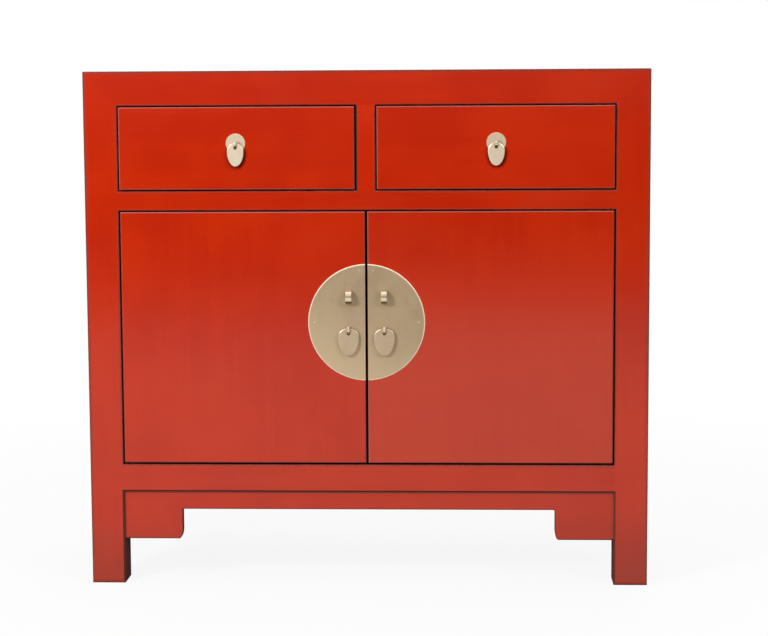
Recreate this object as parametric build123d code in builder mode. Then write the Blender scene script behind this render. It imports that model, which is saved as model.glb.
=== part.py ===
from build123d import *
import os

# A wedding cabinet in red lacquer: two drawers over a pair of flush doors, a round brass
# face plate split between the doors, and brass drop pulls. All sizes are in millimetres.
# X runs to the right as the cabinet is faced, the front faces -Y and Z is up. The origin is
# on the floor, in the middle of the cabinet's box with its brass fittings counted in.

os.makedirs("parts", exist_ok=True)

# ---------------------------------------------------------------- driving sizes
# Overall, without the brass fittings
width = 870.0
depth = 400.0
height = 800.0

# Frame
leg_width = 52.0
leg_depth = 52.0
top_rail_height = 53.0
drawer_opening_height = 131.0
waist_rail_height = 30.0
bottom_rail_height = 43.0
floor_clearance = 146.0
rail_depth = 40.0
divider_width = 30.0
edge_radius = 1.6
mouth_bevel = 1.2
mouth_bevel_angle = 45.0
apron_mouth_bevel = 2.4

# Joints of the frame
corner_tenon = 16.0
corner_tenon_cover = 10.0
tenon_length = 22.0
tenon_thickness = 12.0
tenon_shoulder = 6.0
divider_tenon = 12.0
housing = 8.0
joint_play = 0.1

# Panels
groove = 6.0
groove_play = 0.2
side_panel_thickness = 10.0
side_panel_recess = 8.0
back_panel_thickness = 8.0
back_panel_recess = 6.0
top_panel_thickness = 14.0
top_tongue_thickness = 6.0
top_panel_gap = 0.5
bottom_panel_thickness = 12.0
bottom_panel_recess = 4.0

# Battens under the top, which also keep a pulled drawer level
batten_width = 26.0
centre_batten_width = 40.0

# Aprons
apron_thickness = 14.0
apron_recess = 6.0
apron_drop = 29.0
bracket_drop = 47.4
front_bracket_width = 91.5
side_bracket_width = 60.0
bracket_toe_width = 6.2
bracket_toe_height = 16.0
bracket_throat_radius = 3.0
apron_bevel = 1.5

# Shelf
shelf_thickness = 15.0
lower_space_height = 180.0
shelf_setback = 60.0
shelf_play = 0.5
notch_play = 0.5
cleat_thickness = 12.0
cleat_height = 20.0

# Runners
runner_thickness = 20.0
runner_ledge = 22.0
guide_height = 20.0
guide_play = 1.0
running_gap = 0.3
stop_height = 5.0
stop_width = 30.0
stop_spacing = 200.0

# Drawers
drawer_gap = 2.0
drawer_top_play = 3.0
drawer_length = 340.0
drawer_front_thickness = 20.0
drawer_side_thickness = 12.0
drawer_back_thickness = 12.0
drawer_bottom_thickness = 6.0
drawer_bottom_rise = 8.0
drawer_groove = 5.0
dovetail_count = 3
dovetail_width = 22.0
dovetail_flare = 2.5
dovetail_lap = 6.0

# Doors
door_thickness = 18.0
door_centre_gap = 3.5
door_side_gap = 2.0
door_top_gap = 2.0
door_bottom_gap = 3.0
hinge_edge_radius = 3.5
door_stop_height = 12.0
door_stop_length = 680.0
door_batten_height = 44.0
door_batten_thickness = 14.0
door_batten_inset = 60.0
door_batten_margin = 58.0
door_batten_bevel = 3.6
slide_tongue_width = 28.0
slide_tongue_flare = 2.5
slide_tongue_depth = 7.0

# Pivot pins of the doors
pivot_inset = 12.0
pivot_setback = 8.0
pivot_radius = 5.0
pivot_seat = 20.0
pivot_reach = 13.0
pivot_play = 0.08

# Round face plate, in two halves, a little above the middle of the doors
plate_radius = 90.5
plate_height_over_middle = 24.5
plate_thickness = 1.5
plate_rim = 1.1
plate_edge_inset = 0.3
nail_circle_radius = 81.0
nail_end_angle = 82.0
nail_head_radius = 1.7
nail_head_height = 0.9
nail_head_slope = 30.0
nail_shank_radius = 0.7
nail_shank_length = 9.0

# Lock staples
staple_x = 27.3
staple_height_over_plate_middle = 40.1
staple_width = 8.9
staple_outer_height = 20.4
staple_reach = 14.5
staple_thickness = 2.2
staple_drive = 12.0
crease_angle = 27.0
crease_width = 1.4
crease_depth = 0.5

# Drop pulls: an eye of flat strip, whose two leaves open up and down behind the board
strip_width = 3.0
strip_thickness = 1.1
strip_bevel = 0.2
leaf_bend = 0.35
leaf_length = 9.0
shank_play = 0.1
eye_play = 0.3
tag_thickness = 1.5
tag_bevel_width = 1.0
tag_bevel_depth = 0.5
backplate_radius = 15.0
backplate_rise = 1.8
backplate_thickness = 1.2
backplate_bevel = 0.7

# Drawer tags and door tags, each hung from its eye
drawer_pull_outward = 1.0
drawer_eye_height_over_middle = 5.9
drawer_eye_radius = 4.2
drawer_tag_width = 25.2
drawer_tag_length = 35.5
drawer_tag_shoulder = 12.5
drawer_tag_bar = 4.2
drawer_tag_hole_radius = 2.4
door_pull_x = 27.8
door_eye_depth_under_plate_middle = 10.5
door_eye_radius = 5.0
door_tag_width = 32.0
door_tag_length = 42.5
door_tag_shoulder = 13.0
door_tag_bar = 5.0
door_tag_hole_radius = 3.0

# ---------------------------------------------------------------- places worked out from them
fitting_reach = plate_thickness + staple_reach
front_y = -(depth - fitting_reach) / 2
rear_y = front_y + depth
side_x = width / 2
leg_inner_x = side_x - leg_width
front_leg_back_y = front_y + leg_depth
rear_leg_front_y = rear_y - leg_depth
front_rail_back_y = front_y + rail_depth
rear_rail_front_y = rear_y - rail_depth
side_rail_inner_x = side_x - rail_depth

top_rail_low = height - top_rail_height
waist_top = top_rail_low - drawer_opening_height
waist_low = waist_top - waist_rail_height
bottom_rail_top = floor_clearance + bottom_rail_height

side_panel_outer_x = side_x - side_panel_recess
side_panel_inner_x = side_panel_outer_x - side_panel_thickness
back_panel_outer_y = rear_y - back_panel_recess
back_panel_inner_y = back_panel_outer_y - back_panel_thickness
top_panel_low = height - top_panel_thickness
bottom_panel_top = bottom_rail_top - bottom_panel_recess
bottom_panel_low = bottom_panel_top - bottom_panel_thickness
shelf_low = bottom_panel_top + lower_space_height
shelf_top = shelf_low + shelf_thickness

drawer_inner_x = divider_width / 2 + drawer_gap
drawer_outer_x = leg_inner_x - drawer_gap
drawer_centre_x = (drawer_inner_x + drawer_outer_x) / 2
drawer_pull_x = drawer_centre_x + drawer_pull_outward
drawer_eye_height = (waist_top + top_rail_low) / 2 + drawer_eye_height_over_middle
drawer_front_back_y = front_y + drawer_front_thickness
drawer_rear_y = front_y + drawer_length
drawer_side_low = waist_top + running_gap
drawer_side_top = top_rail_low - drawer_top_play
drawer_bottom_low = drawer_side_low + drawer_bottom_rise
drawer_bottom_top = drawer_bottom_low + drawer_bottom_thickness
dovetail_pitch = (drawer_side_top - drawer_side_low) / dovetail_count

door_inner_x = door_centre_gap / 2
door_outer_x = leg_inner_x - door_side_gap
door_low = bottom_rail_top + door_bottom_gap
door_top = waist_low - door_top_gap
door_back_y = front_y + door_thickness
pivot_x = door_outer_x - pivot_inset
pivot_y = front_y + pivot_setback
plate_front_y = front_y - plate_thickness
plate_centre_height = (door_low + door_top) / 2 + plate_height_over_middle
staple_height = plate_centre_height + staple_height_over_plate_middle
door_eye_height = plate_centre_height - door_eye_depth_under_plate_middle
door_eye_y = plate_front_y - door_eye_radius
backplate_front_y = front_y - backplate_thickness
drawer_eye_y = backplate_front_y - drawer_eye_radius
shank_hole_radius = ((strip_width / 2) ** 2 + strip_thickness**2) ** 0.5 + shank_play

front_plane = Plane.XZ.offset(-front_y)


def block(x, y, z, mode=Mode.ADD, grow=0.0):
    """A square block between two limits on each axis, grown all round when it cuts a seat."""
    spans = [(min(limits) - grow, max(limits) + grow) for limits in (x, y, z)]
    with Locations(tuple((low + high) / 2 for low, high in spans)):
        Box(*(high - low for low, high in spans), mode=mode)


def save(piece, name):
    """Label one finished piece and write its file."""
    piece.label = name
    export_step(piece, f"parts/{name}.step")


def save_pair(piece, name):
    """Write a right-hand piece and its mirror image on the left."""
    save(piece, f"right_{name}")
    save(mirror(piece, about=Plane.YZ), f"left_{name}")


# ---------------------------------------------------------------- shapes that several pieces share
# Joints are cut with the same limits on both sides, so a seat always follows what sits in it.
side_panel_limits = (
    (side_panel_inner_x, side_panel_outer_x),
    (front_leg_back_y - groove, rear_leg_front_y + groove),
    (bottom_rail_top - groove, top_rail_low + groove),
)
upper_back_limits = (
    (-leg_inner_x - groove, leg_inner_x + groove),
    (back_panel_inner_y, back_panel_outer_y),
    (waist_top - groove, top_rail_low + groove),
)
lower_back_limits = (
    (-leg_inner_x - groove, leg_inner_x + groove),
    (back_panel_inner_y, back_panel_outer_y),
    (bottom_rail_top - groove, waist_low + groove),
)
top_tongue_limits = (
    (-leg_inner_x - groove, leg_inner_x + groove),
    (front_leg_back_y - groove, rear_leg_front_y + groove),
    (top_panel_low, top_panel_low + top_tongue_thickness),
)
bottom_panel_limits = (
    (-side_rail_inner_x - groove, side_rail_inner_x + groove),
    (front_rail_back_y - groove, rear_rail_front_y + groove),
    (bottom_panel_low, bottom_panel_top),
)
front_apron_y = (front_y + apron_recess, front_y + apron_recess + apron_thickness)
side_apron_x = (side_x - apron_recess - apron_thickness, side_x - apron_recess)
front_apron_limits = (
    (-leg_inner_x - groove, leg_inner_x + groove),
    front_apron_y,
    (floor_clearance - apron_drop - bracket_drop, floor_clearance + groove),
)
side_apron_limits = (
    side_apron_x,
    (front_leg_back_y - groove, rear_leg_front_y + groove),
    (floor_clearance - apron_drop - bracket_drop, floor_clearance + groove),
)
divider_tenon_limits = (
    (-divider_width / 2 + tenon_shoulder, divider_width / 2 - tenon_shoulder),
    (front_y + tenon_shoulder, front_rail_back_y - housing - tenon_shoulder),
    (waist_top - divider_tenon, top_rail_low + divider_tenon),
)
centre_batten_limits = (
    (-centre_batten_width / 2, centre_batten_width / 2),
    (front_leg_back_y - housing, rear_leg_front_y + housing),
    (top_rail_low, top_panel_low),
)
side_batten_limits = (
    (leg_inner_x - batten_width, leg_inner_x),
    (front_leg_back_y - housing, rear_leg_front_y + housing),
    (top_rail_low, top_panel_low),
)
side_ledge_limits = (
    (drawer_outer_x + guide_play - runner_ledge, leg_inner_x),
    (front_rail_back_y - housing, rear_rail_front_y + housing),
    (waist_top - runner_thickness, waist_top),
)
centre_guide_x = drawer_inner_x - guide_play
centre_ledge_limits = (
    (-centre_guide_x - runner_ledge, centre_guide_x + runner_ledge),
    (front_rail_back_y - housing, rear_rail_front_y + housing),
    (waist_top - runner_thickness, waist_top),
)


def rail_tenon_x(y_limits, z_low, z_high):
    """The limits of the right-hand tenon of a rail that runs along X."""
    middle = sum(y_limits) / 2
    return (
        (leg_inner_x, leg_inner_x + tenon_length),
        (middle - tenon_thickness / 2, middle + tenon_thickness / 2),
        (z_low + tenon_shoulder, z_high - tenon_shoulder),
    )


def rail_tenon_y(shoulder_y, inward):
    """The limits of one tenon of the bottom side rail, which runs along Y."""
    middle = (side_rail_inner_x + side_x) / 2
    return (
        (middle - tenon_thickness / 2, middle + tenon_thickness / 2),
        (shoulder_y, shoulder_y - inward * tenon_length),
        (floor_clearance + tenon_shoulder, bottom_rail_top - tenon_shoulder),
    )


def corner_tenon_limits(outer_y, inward):
    """The limits of the hidden tenon on top of a leg, which holds both top rails."""
    middle_x = side_x - leg_width / 2
    middle_y = outer_y + inward * leg_depth / 2
    return (
        (middle_x - corner_tenon / 2, middle_x + corner_tenon / 2),
        (middle_y - corner_tenon / 2, middle_y + corner_tenon / 2),
        (top_rail_low, height - corner_tenon_cover),
    )


# The cabinet's outside with its eased edges: every piece of the frame is trimmed to it.
with BuildPart() as envelope:
    block((-side_x, side_x), (front_y, rear_y), (0, height))
    eased_edges = envelope.edges().filter_by(Axis.Z) + envelope.faces().sort_by(Axis.Z)[-1].edges()
    fillet(eased_edges, edge_radius)

# The bevelled mouths of the two drawer openings, the door opening and the space round the
# apron: each is a shallow frustum that eases the edge round one opening. The legs and the
# bottom rail are rubbed wider round the apron.
mouths = (
    (divider_width / 2, leg_inner_x, waist_top, top_rail_low, mouth_bevel),
    (-leg_inner_x, -divider_width / 2, waist_top, top_rail_low, mouth_bevel),
    (-leg_inner_x, leg_inner_x, bottom_rail_top, waist_low, mouth_bevel),
    (-leg_inner_x, leg_inner_x, apron_mouth_bevel, floor_clearance, apron_mouth_bevel),
)
with BuildPart() as mouth_bevels:
    for left, right, low, high, bevel in mouths:
        with BuildSketch(front_plane):
            with Locations(((left + right) / 2, (low + high) / 2)):
                Rectangle(right - left + 2 * bevel, high - low + 2 * bevel)
        extrude(amount=-bevel, taper=mouth_bevel_angle)


# ---------------------------------------------------------------- frame with three-way mitred corners
def right_leg(outer_y, inward):
    """A right leg. Its head slopes down two ways, where the two top rails lie on it."""
    inner_y = outer_y + inward * leg_depth
    with BuildPart() as leg:
        with BuildSketch(Plane.XZ.offset(-outer_y)):
            Polygon(
                (side_x, 0), (side_x, height), (leg_inner_x, top_rail_low), (leg_inner_x, 0), align=None
            )
        extrude(amount=-inward * leg_depth)
        with BuildSketch(Plane.YZ.offset(side_x)):
            Polygon(
                (outer_y, 0), (outer_y, height), (inner_y, top_rail_low), (inner_y, 0), align=None
            )
        extrude(amount=-leg_width, mode=Mode.INTERSECT)
        add(envelope.part, mode=Mode.INTERSECT)
        block(*corner_tenon_limits(outer_y, inward))
        block(*rail_tenon_y(inner_y, inward), Mode.SUBTRACT, joint_play)
        block(*side_panel_limits, Mode.SUBTRACT, groove_play)
        block(*side_apron_limits, Mode.SUBTRACT, groove_play)
    return leg


with BuildPart() as front_leg:
    add(right_leg(front_y, 1).part)
    add(mouth_bevels.part, mode=Mode.SUBTRACT)
    for rail_low, rail_high in ((waist_low, waist_top), (floor_clearance, bottom_rail_top)):
        block(*rail_tenon_x((front_y, front_rail_back_y), rail_low, rail_high), Mode.SUBTRACT, joint_play)
    block(*front_apron_limits, Mode.SUBTRACT, groove_play)
save_pair(front_leg.part, "front_leg")

with BuildPart() as rear_leg:
    add(right_leg(rear_y, -1).part)
    for rail_low, rail_high in ((waist_low, waist_top), (floor_clearance, bottom_rail_top)):
        block(*rail_tenon_x((rear_rail_front_y, rear_y), rail_low, rail_high), Mode.SUBTRACT, joint_play)
    block(*upper_back_limits, Mode.SUBTRACT, groove_play)
    block(*lower_back_limits, Mode.SUBTRACT, groove_play)
save_pair(rear_leg.part, "rear_leg")


def trapezoid(outer, inner):
    """The mitred outline of a rail that lies across the middle: long outside, short inside."""
    Polygon((-outer[0], outer[1]), outer, inner, (-inner[0], inner[1]), align=None)


def top_rail(outer_y, inward):
    """The front or rear top rail: a mitred trapezoid seen from the front and from above."""
    inner_y = outer_y + inward * leg_depth
    with BuildPart() as rail:
        with BuildSketch(Plane.XZ.offset(-outer_y)):
            trapezoid((side_x, height), (leg_inner_x, top_rail_low))
        extrude(amount=-inward * leg_depth)
        with BuildSketch(Plane.XY.offset(top_rail_low)):
            trapezoid((side_x, outer_y), (leg_inner_x, inner_y))
        extrude(amount=top_rail_height, mode=Mode.INTERSECT)
        add(envelope.part, mode=Mode.INTERSECT)
        block(*corner_tenon_limits(outer_y, inward), Mode.SUBTRACT, joint_play)
        block(*top_tongue_limits, Mode.SUBTRACT, groove_play)
        block(*centre_batten_limits, Mode.SUBTRACT, joint_play)
        block(*side_batten_limits, Mode.SUBTRACT, joint_play)
        mirror(about=Plane.YZ, mode=Mode.INTERSECT)
    return rail


with BuildPart() as top_front_rail:
    add(top_rail(front_y, 1).part)
    add(mouth_bevels.part, mode=Mode.SUBTRACT)
    block(*divider_tenon_limits, Mode.SUBTRACT, joint_play)
save(top_front_rail.part, "top_front_rail")

with BuildPart() as top_rear_rail:
    add(top_rail(rear_y, -1).part)
    block(*upper_back_limits, Mode.SUBTRACT, groove_play)
save(top_rear_rail.part, "top_rear_rail")

with BuildPart() as top_side_rail:
    with BuildSketch(Plane.YZ.offset(side_x)):
        Polygon(
            (front_y, height), (rear_y, height),
            (rear_leg_front_y, top_rail_low), (front_leg_back_y, top_rail_low), align=None
        )
    extrude(amount=-leg_width)
    with BuildSketch(Plane.XY.offset(top_rail_low)):
        Polygon(
            (side_x, front_y), (side_x, rear_y),
            (leg_inner_x, rear_leg_front_y), (leg_inner_x, front_leg_back_y), align=None
        )
    extrude(amount=top_rail_height, mode=Mode.INTERSECT)
    add(envelope.part, mode=Mode.INTERSECT)
    block(*corner_tenon_limits(front_y, 1), Mode.SUBTRACT, joint_play)
    block(*corner_tenon_limits(rear_y, -1), Mode.SUBTRACT, joint_play)
    block(*top_tongue_limits, Mode.SUBTRACT, groove_play)
    block(*side_panel_limits, Mode.SUBTRACT, groove_play)
save_pair(top_side_rail.part, "top_side_rail")


# ---------------------------------------------------------------- rails between the legs
def cross_rail(y_limits, z_low, z_high):
    """A rail along X between two legs, with a tenon at each end."""
    with BuildPart() as rail:
        block((-leg_inner_x, leg_inner_x), y_limits, (z_low, z_high))
        block(*rail_tenon_x(y_limits, z_low, z_high))
        mirror(about=Plane.YZ)
    return rail


with BuildPart() as waist_rail:
    add(cross_rail((front_y, front_rail_back_y), waist_low, waist_top).part)
    add(mouth_bevels.part, mode=Mode.SUBTRACT)
    block(*divider_tenon_limits, Mode.SUBTRACT, joint_play)
    block(*centre_ledge_limits, Mode.SUBTRACT, joint_play)
    block(*side_ledge_limits, Mode.SUBTRACT, joint_play)
    with Locations((pivot_x, pivot_y, waist_low)):
        Hole(pivot_radius + pivot_play, pivot_reach + running_gap)
    mirror(about=Plane.YZ, mode=Mode.INTERSECT)
save(waist_rail.part, "waist_rail")

with BuildPart() as rear_waist_rail:
    add(cross_rail((rear_rail_front_y, rear_y), waist_low, waist_top).part)
    block(*centre_ledge_limits, Mode.SUBTRACT, joint_play)
    block(*side_ledge_limits, Mode.SUBTRACT, joint_play)
    block(*upper_back_limits, Mode.SUBTRACT, groove_play)
    block(*lower_back_limits, Mode.SUBTRACT, groove_play)
    mirror(about=Plane.YZ, mode=Mode.INTERSECT)
save(rear_waist_rail.part, "rear_waist_rail")

with BuildPart() as bottom_front_rail:
    add(cross_rail((front_y, front_rail_back_y), floor_clearance, bottom_rail_top).part)
    add(mouth_bevels.part, mode=Mode.SUBTRACT)
    block(*bottom_panel_limits, Mode.SUBTRACT, groove_play)
    block(*front_apron_limits, Mode.SUBTRACT, groove_play)
    with Locations((pivot_x, pivot_y, bottom_rail_top)):
        Hole(pivot_radius + pivot_play, pivot_reach + running_gap)
    mirror(about=Plane.YZ, mode=Mode.INTERSECT)
save(bottom_front_rail.part, "bottom_front_rail")

with BuildPart() as bottom_rear_rail:
    add(cross_rail((rear_rail_front_y, rear_y), floor_clearance, bottom_rail_top).part)
    block(*bottom_panel_limits, Mode.SUBTRACT, groove_play)
    block(*lower_back_limits, Mode.SUBTRACT, groove_play)
save(bottom_rear_rail.part, "bottom_rear_rail")

with BuildPart() as bottom_side_rail:
    block(
        (side_rail_inner_x, side_x),
        (front_leg_back_y, rear_leg_front_y),
        (floor_clearance, bottom_rail_top),
    )
    block(*rail_tenon_y(front_leg_back_y, 1))
    block(*rail_tenon_y(rear_leg_front_y, -1))
    block(*bottom_panel_limits, Mode.SUBTRACT, groove_play)
    block(*side_panel_limits, Mode.SUBTRACT, groove_play)
    block(*side_apron_limits, Mode.SUBTRACT, groove_play)
save_pair(bottom_side_rail.part, "bottom_side_rail")

with BuildPart() as drawer_divider:
    block(
        (-divider_width / 2, divider_width / 2),
        (front_y, front_rail_back_y),
        (waist_top, top_rail_low),
    )
    add(mouth_bevels.part, mode=Mode.SUBTRACT)
    block(*divider_tenon_limits)
save(drawer_divider.part, "drawer_divider")

# ---------------------------------------------------------------- panels, battens and shelf
with BuildPart() as top_panel:
    block(*top_tongue_limits)
    with BuildSketch(Plane.XY.offset(top_panel_low)):
        with Locations((0, (front_leg_back_y + rear_leg_front_y) / 2)):
            Rectangle(
                2 * (leg_inner_x - top_panel_gap),
                rear_leg_front_y - front_leg_back_y - 2 * top_panel_gap,
            )
    extrude(amount=top_panel_thickness)
    chamfer(top_panel.faces().sort_by(Axis.Z)[-1].edges(), top_panel_gap)
save(top_panel.part, "top_panel")

with BuildPart() as top_battens:
    block(*centre_batten_limits)
    block(*side_batten_limits)
    mirror(about=Plane.YZ)
save(top_battens.part, "top_battens")

with BuildPart() as side_panel:
    block(*side_panel_limits)
save_pair(side_panel.part, "side_panel")

with BuildPart() as back_panels:
    block(*upper_back_limits)
    block(*lower_back_limits)
save(back_panels.part, "back_panels")


def notch_corner(outer_y, inward, z_limits):
    """Cut the corner of a horizontal panel clear of a right leg."""
    inner_y = outer_y + inward * leg_depth
    block((leg_inner_x, side_x), (outer_y, inner_y), z_limits, Mode.SUBTRACT, notch_play)


with BuildPart() as bottom_panel:
    block(*bottom_panel_limits)
    notch_corner(front_y, 1, (bottom_panel_low, bottom_panel_top))
    notch_corner(rear_y, -1, (bottom_panel_low, bottom_panel_top))
    mirror(about=Plane.YZ, mode=Mode.INTERSECT)
save(bottom_panel.part, "bottom_panel")

shelf_half_width = side_panel_inner_x - shelf_play
with BuildPart() as shelf:
    block(
        (-shelf_half_width, shelf_half_width),
        (front_y + shelf_setback, back_panel_inner_y - shelf_play),
        (shelf_low, shelf_top),
    )
    notch_corner(rear_y, -1, (shelf_low, shelf_top))
    mirror(about=Plane.YZ, mode=Mode.INTERSECT)
    chamfer(shelf.faces().sort_by(Axis.Y)[0].edges().filter_by(Axis.X), mouth_bevel)
save(shelf.part, "shelf")

with BuildPart() as shelf_cleats:
    block(
        (side_panel_inner_x - cleat_thickness, side_panel_inner_x),
        (front_leg_back_y, rear_leg_front_y),
        (shelf_low - cleat_height, shelf_low),
    )
    mirror(about=Plane.YZ)
save(shelf_cleats.part, "shelf_cleats")


# ---------------------------------------------------------------- aprons with their brackets
def cut_apron_arch(plane, middle, bracket_span):
    """Cut the low arch between an apron's brackets: long rounded toes below, tight throats above."""
    arch_top = floor_clearance - apron_drop
    toe_low = arch_top - bracket_drop
    with BuildSketch(plane) as arch:
        with Locations((middle, (toe_low + arch_top) / 2)):
            Rectangle(bracket_span, bracket_drop)
        with Locations((middle, toe_low + bracket_toe_height / 2)):
            Rectangle(bracket_span + 2 * bracket_toe_width, bracket_toe_height)
        for end in (-1, 1):
            toe_centre_x = middle + end * (bracket_span / 2 + bracket_toe_width)
            with Locations((toe_centre_x, toe_low + bracket_toe_height)):
                Ellipse(bracket_toe_width, bracket_toe_height, mode=Mode.SUBTRACT)
        fillet(arch.vertices().group_by(Axis.Y)[-1], bracket_throat_radius)
    extrude(arch.sketch, amount=apron_thickness, both=True, mode=Mode.SUBTRACT)


with BuildPart() as front_apron:
    block(*front_apron_limits)
    cut_apron_arch(Plane.XZ.offset(-front_apron_y[0]), 0, 2 * (leg_inner_x - front_bracket_width))
    arrises = front_apron.faces().sort_by(Axis.Y)[0].edges()
    chamfer(arrises.filter_by(lambda edge: edge.center().Z < floor_clearance), apron_bevel)
save(front_apron.part, "front_apron")

with BuildPart() as side_apron:
    block(*side_apron_limits)
    cut_apron_arch(
        Plane.YZ.offset(side_apron_x[1]),
        (front_leg_back_y + rear_leg_front_y) / 2,
        rear_leg_front_y - front_leg_back_y - 2 * side_bracket_width,
    )
    arrises = side_apron.faces().sort_by(Axis.X)[-1].edges()
    chamfer(arrises.filter_by(lambda edge: edge.center().Z < floor_clearance), apron_bevel)
save_pair(side_apron.part, "side_apron")

# ---------------------------------------------------------------- drawer runners and stops
with BuildPart() as side_runners:
    block(*side_ledge_limits)
    block((leg_inner_x, side_panel_inner_x), (front_leg_back_y, rear_leg_front_y), side_ledge_limits[2])
    block(
        (drawer_outer_x + guide_play, side_panel_inner_x),
        (front_leg_back_y, rear_leg_front_y),
        (waist_top, waist_top + guide_height),
    )
    mirror(about=Plane.YZ)
save(side_runners.part, "side_runners")

with BuildPart() as centre_runner:
    block(*centre_ledge_limits)
    block(
        (-centre_guide_x, centre_guide_x),
        (front_rail_back_y, rear_rail_front_y),
        (waist_top, waist_top + guide_height),
    )
save(centre_runner.part, "centre_runner")

with BuildPart() as drawer_stops:
    for stop_x in (drawer_centre_x - stop_spacing / 2, drawer_centre_x + stop_spacing / 2):
        block(
            (stop_x - stop_width / 2, stop_x + stop_width / 2),
            (drawer_front_back_y + running_gap, front_rail_back_y),
            (waist_top, waist_top + stop_height),
        )
    mirror(about=Plane.YZ)
save(drawer_stops.part, "drawer_stops")

with BuildPart() as door_stop:
    block(
        (-door_stop_length / 2, door_stop_length / 2),
        (door_back_y + running_gap, front_rail_back_y),
        (waist_low - door_stop_height, waist_low),
    )
    chamfer(door_stop.edges().filter_by(Axis.X).group_by(Axis.Z)[0], mouth_bevel)
save(door_stop.part, "door_stop")


# ---------------------------------------------------------------- drop pulls
def cut_shank_hole(x, z):
    """Drill a board or plate right through for the two leaves of a split pin."""
    with Locations(Location((x, front_y, z), (90, 0, 0))):
        Hole(shank_hole_radius)


def cotter(x, eye_y, z, eye_radius, board_back_y):
    """A split pin of flat strip: an eye, and two leaves through the board that open behind it."""
    bend_radius = leaf_bend + strip_thickness / 2
    leaf_y = board_back_y + running_gap + strip_thickness / 2
    with BuildPart() as pin:
        with BuildSketch(Plane.YZ.offset(x - strip_width / 2)):
            for turn in (-1, 1):
                leaf_z = z + turn * strip_thickness / 2
                with BuildLine():
                    Line((eye_y + eye_radius - strip_thickness, leaf_z), (leaf_y - bend_radius, leaf_z))
                    RadiusArc(
                        (leaf_y - bend_radius, leaf_z),
                        (leaf_y, leaf_z + turn * bend_radius),
                        -turn * bend_radius,
                    )
                    Line((leaf_y, leaf_z + turn * bend_radius), (leaf_y, leaf_z + turn * leaf_length))
                trace(line_width=strip_thickness)
            with Locations((eye_y, z)):
                Circle(eye_radius)
                Circle(eye_radius - strip_thickness, mode=Mode.SUBTRACT)
        extrude(amount=strip_width)
        rims = pin.edges().filter_by(GeomType.CIRCLE)
        chamfer(rims.filter_by(lambda rim: abs(rim.radius - eye_radius) < shank_play), strip_bevel)
    return pin


def pull_tag(x, eye_y, z, eye_radius, tag_width, tag_length, shoulder, bar, hole_radius):
    """A hanging tag: half an ellipse above its widest line and a longer one below it."""
    # The strip's corners inside the eye just clear the edge of the round hole.
    corner_drop = ((eye_radius - strip_thickness) ** 2 - (tag_thickness / 2) ** 2) ** 0.5
    hole_drop = corner_drop + ((hole_radius - eye_play) ** 2 - (strip_width / 2) ** 2) ** 0.5
    widest = z - hole_drop + hole_radius + bar - shoulder
    with BuildPart() as tag:
        with BuildSketch(Plane.XZ.offset(-eye_y - tag_thickness / 2)):
            with BuildLine():
                EllipticalCenterArc((x, widest), tag_width / 2, shoulder, arc_size=180)
                EllipticalCenterArc((x, widest), tag_width / 2, tag_length - shoulder, 180, arc_size=180)
            make_face()
        extrude(amount=tag_thickness)
        front_face = tag.faces().sort_by(Axis.Y)[0]
        chamfer(front_face.edges(), tag_bevel_width, tag_bevel_depth, reference=front_face)
        with Locations(Location((x, eye_y, z - hole_drop), (90, 0, 0))):
            Hole(hole_radius)
    return tag


# ---------------------------------------------------------------- drawers, dovetailed
def dovetails(low_x, root_y, tip_y, mode):
    """Add or cut the row of tails of one drawer side, which widen from root to tip."""
    root, tip = dovetail_width / 2, dovetail_width / 2 + dovetail_flare
    with BuildSketch(Plane.YZ.offset(low_x)) as tails:
        for index in range(dovetail_count):
            middle = drawer_side_low + dovetail_pitch * (index + 0.5)
            Polygon(
                (root_y, middle - root), (tip_y, middle - tip),
                (tip_y, middle + tip), (root_y, middle + root), align=None
            )
    extrude(tails.sketch, amount=drawer_side_thickness, mode=mode)


front_tails_y = (drawer_front_back_y, front_y + dovetail_lap)
rear_tails_y = (drawer_rear_y - drawer_back_thickness, drawer_rear_y)
drawer_back_z = (drawer_bottom_top + groove_play, drawer_side_top)
drawer_bottom_limits = (
    (
        drawer_inner_x + drawer_side_thickness - drawer_groove,
        drawer_outer_x - drawer_side_thickness + drawer_groove,
    ),
    (drawer_front_back_y - drawer_groove, drawer_rear_y),
    (drawer_bottom_low, drawer_bottom_top),
)
side_starts = (drawer_inner_x, drawer_outer_x - drawer_side_thickness)

with BuildPart() as drawer_front:
    with BuildSketch(front_plane):
        with Locations((drawer_centre_x, (waist_top + top_rail_low) / 2)):
            Rectangle(drawer_outer_x - drawer_inner_x, drawer_opening_height - 2 * drawer_gap)
    extrude(amount=-drawer_front_thickness)
    fillet(drawer_front.faces().sort_by(Axis.Y)[0].edges(), edge_radius)
    for start_x in side_starts:
        dovetails(start_x, *front_tails_y, Mode.SUBTRACT)
    block(*drawer_bottom_limits, Mode.SUBTRACT, groove_play)
    cut_shank_hole(drawer_pull_x, drawer_eye_height)
save_pair(drawer_front.part, "drawer_front")

with BuildPart() as drawer_sides:
    for start_x in side_starts:
        side_limits_x = (start_x, start_x + drawer_side_thickness)
        block(side_limits_x, (drawer_front_back_y, drawer_rear_y), (drawer_side_low, drawer_side_top))
        block(side_limits_x, rear_tails_y, drawer_back_z, Mode.SUBTRACT)
        dovetails(start_x, *front_tails_y, Mode.ADD)
        dovetails(start_x, *rear_tails_y, Mode.ADD)
    block(*drawer_bottom_limits, Mode.SUBTRACT, groove_play)
save_pair(drawer_sides.part, "drawer_sides")

with BuildPart() as drawer_back:
    block((drawer_inner_x, drawer_outer_x), rear_tails_y, drawer_back_z)
    for start_x in side_starts:
        dovetails(start_x, *rear_tails_y, Mode.SUBTRACT)
save_pair(drawer_back.part, "drawer_back")

with BuildPart() as drawer_bottom:
    block(*drawer_bottom_limits)
save_pair(drawer_bottom.part, "drawer_bottom")

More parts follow.
